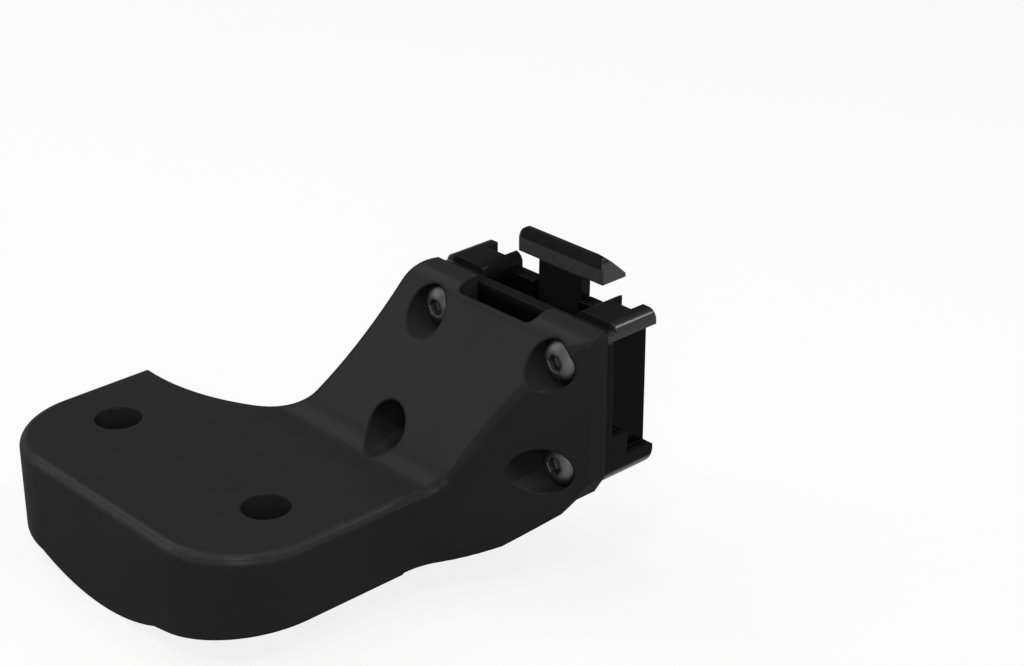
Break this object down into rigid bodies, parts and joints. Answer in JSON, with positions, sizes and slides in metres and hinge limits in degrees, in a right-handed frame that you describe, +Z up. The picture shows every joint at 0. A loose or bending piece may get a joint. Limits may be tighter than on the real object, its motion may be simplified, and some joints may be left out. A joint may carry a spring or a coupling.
{
  "type": "bike computer mount",
  "caption": "Offset bracket that bolts under a handlebar and carries a slide-in clip with a sprung release tongue for a bike computer.",
  "frame": {"origin": "midway between the two bolt holes, on the plate's flat top", "axes": "+X along the two bolt holes, +Y from the bolts towards the clip, +Z up out of the plate's flat top"},
  "size_m": [0.0618, 0.0572, 0.0388],
  "materials": {
    "bracket_plastic": "satin moulded black",
    "clip_plastic": "smooth moulded black",
    "screw_steel": "dark stainless",
    "insert_brass": "plain brass"
  },
  "bodies": {
    "mount": {"bracket": "bracket_plastic", "clip_body": "clip_plastic", "clip_screw_upper_left": "screw_steel", "clip_screw_upper_right": "screw_steel", "clip_screw_lower_left": "screw_steel", "clip_screw_lower_right": "screw_steel", "clip_insert_upper_left": "insert_brass", "clip_insert_upper_right": "insert_brass", "clip_insert_lower_left": "insert_brass", "clip_insert_lower_right": "insert_brass"},
    "tongue": {"release_tongue": "clip_plastic"}
  },
  "joints": [
    {"name": "tongue_flex", "type": "hinge", "parent": "mount", "child": "tongue", "pos_m": [0.0225, 0.0402, 0.0034], "axis": [1, 0, 0], "range_deg": [0, 8], "stiffness_Nm_per_rad": 2}
  ]
}
